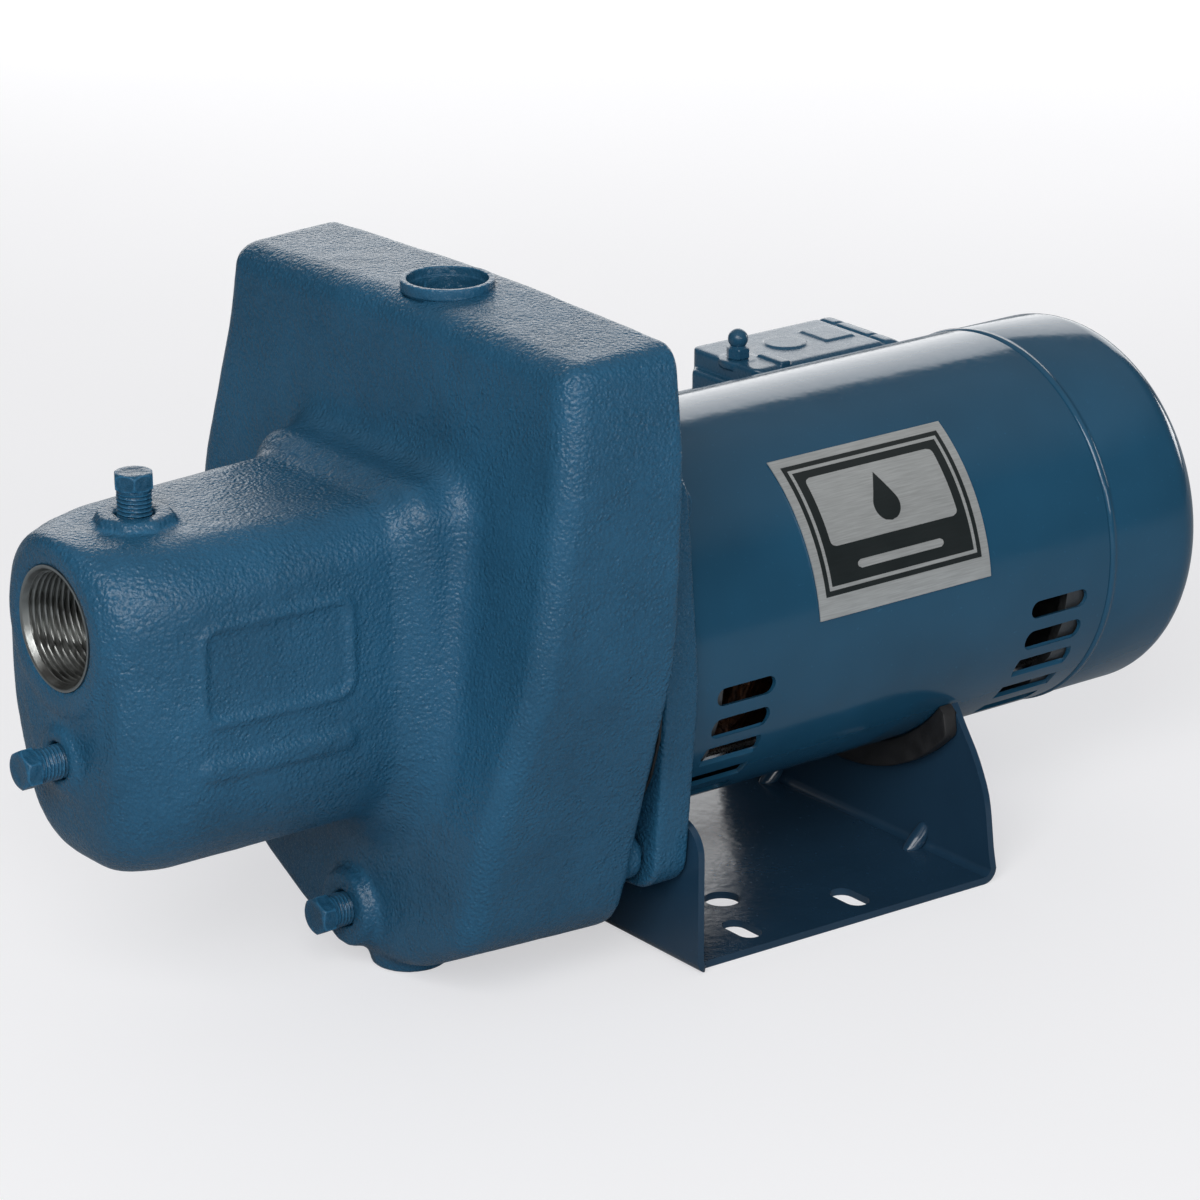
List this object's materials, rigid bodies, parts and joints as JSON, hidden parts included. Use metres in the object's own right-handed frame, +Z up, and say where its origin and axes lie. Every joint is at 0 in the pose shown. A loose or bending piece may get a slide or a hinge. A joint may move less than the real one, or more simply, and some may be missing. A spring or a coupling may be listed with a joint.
{
  "type": "shallow well jet pump",
  "caption": "Horizontal shallow well jet pump: cast self-priming tank with an ejector nose and threaded ports, a fan-vented motor on a bent steel base, and a pressure switch.",
  "frame": {"origin": "centre of the underside of the base plate", "axes": "+X along the motor shaft from the suction port towards the motor's rear end cap, +Z up, -Y the side that carries the name label"},
  "size_m": [0.4821, 0.2275, 0.244],
  "materials": {
    "cast_paint": "semi-gloss blue enamel over sand-cast iron",
    "sheet_paint": "smooth gloss blue enamel over sheet steel",
    "base_paint": "gloss dark blue enamel over bent steel",
    "switch_paint": "satin blue enamel",
    "bright_steel": "machined",
    "dark_steel": "black oxide",
    "laminations": "stacked lamination steel",
    "cast_aluminium": "die-cast",
    "brass": "machined",
    "copper": "bright copper",
    "black_rubber": "matt",
    "black_plastic": "moulded",
    "ivory_plastic": "moulded",
    "label_foil": "printed metallic foil"
  },
  "bodies": {
    "frame": {"pump_body": "cast_paint", "seal_plate": "cast_paint", "body_gasket": "black_rubber", "diffuser": "black_plastic", "venturi": "black_plastic", "venturi_o_ring": "black_rubber", "nozzle": "brass", "seal_seat": "ivory_plastic", "plate_screw_upper_near": "dark_steel", "plate_screw_upper_far": "dark_steel", "plate_screw_lower_near": "dark_steel", "plate_screw_lower_far": "dark_steel", "motor_shell": "sheet_paint", "motor_front_endbell": "cast_aluminium", "motor_rear_endbell": "cast_aluminium", "front_bearing": "bright_steel", "rear_bearing": "bright_steel", "stator_core": "laminations", "front_winding": "copper", "rear_winding": "copper", "terminal_board": "black_plastic", "capacitor": "black_plastic", "through_bolt_upper_near": "bright_steel", "through_bolt_upper_far": "bright_steel", "through_bolt_lower_near": "bright_steel", "through_bolt_lower_far": "bright_steel", "name_label": "label_foil", "base": "base_paint", "motor_pad": "black_rubber", "switch_base": "switch_paint", "range_spring": "bright_steel", "differential_spring": "bright_steel", "switch_inlet": "dark_steel", "tube_fitting": "brass", "pressure_tube": "copper", "conduit_nipple": "bright_steel"},
    "rotor": {"motor_shaft": "bright_steel", "rotor_core": "laminations", "impeller": "ivory_plastic", "rotary_seal": "dark_steel", "seal_spring": "bright_steel", "water_slinger": "black_rubber", "governor": "dark_steel"},
    "governor_collar": {"governor_collar": "black_plastic"},
    "start_switch_arm": {"start_switch_arm": "brass"},
    "priming_plug": {"priming_plug": "cast_paint"},
    "cleanout_plug": {"cleanout_plug": "cast_paint"},
    "drain_plug": {"drain_plug": "cast_paint"},
    "end_cap": {"motor_end_cap": "sheet_paint", "cap_screw_upper": "dark_steel", "cap_screw_lower": "dark_steel"},
    "switch_cover": {"switch_cover": "switch_paint"},
    "cover_nut": {"cover_nut": "switch_paint"},
    "diaphragm_plunger": {"diaphragm_plunger": "black_plastic"},
    "contact_lever": {"contact_lever": "brass"}
  },
  "joints": [
    {"name": "shaft_spin", "type": "hinge", "parent": "frame", "child": "rotor", "pos_m": [0, 0, 0.1076], "axis": [1, 0, 0], "continuous": true},
    {"name": "governor_slide", "type": "slide", "parent": "rotor", "child": "governor_collar", "axis": [-1, 0, 0], "range_m": [0, 0.003]},
    {"name": "start_switch_pivot", "type": "hinge", "parent": "frame", "child": "start_switch_arm", "pos_m": [0.1462, 0, 0.0776], "axis": [0, -1, 0], "range_deg": [0, 8.6]},
    {"name": "priming_plug_slide", "type": "slide", "parent": "frame", "child": "priming_plug", "axis": [0, 0, 1], "range_m": [0, 0.03]},
    {"name": "cleanout_plug_slide", "type": "slide", "parent": "frame", "child": "cleanout_plug", "axis": [-1, 0, 0], "range_m": [0, 0.03]},
    {"name": "drain_plug_slide", "type": "slide", "parent": "frame", "child": "drain_plug", "axis": [-1, 0, 0], "range_m": [0, 0.03]},
    {"name": "end_cap_slide", "type": "slide", "parent": "frame", "child": "end_cap", "axis": [1, 0, 0], "range_m": [0, 0.07]},
    {"name": "cover_slide", "type": "slide", "parent": "frame", "child": "switch_cover", "axis": [0, 0, 1], "range_m": [0, 0.06]},
    {"name": "cover_nut_slide", "type": "slide", "parent": "switch_cover", "child": "cover_nut", "axis": [0, 0, 1], "range_m": [0, 0.012]},
    {"name": "plunger_slide", "type": "slide", "parent": "frame", "child": "diaphragm_plunger", "axis": [0, 0, 1], "range_m": [0, 0.001]},
    {"name": "contact_lever_pivot", "type": "hinge", "parent": "frame", "child": "contact_lever", "pos_m": [0.1, 0.105, 0.106], "axis": [0, -1, 0], "range_deg": [0, 5.8]}
  ],
  "couplings": [
    {"joint": "start_switch_pivot", "follows": "governor_slide", "rad_per_m": 50},
    {"joint": "contact_lever_pivot", "follows": "plunger_slide", "rad_per_m": 100}
  ]
}
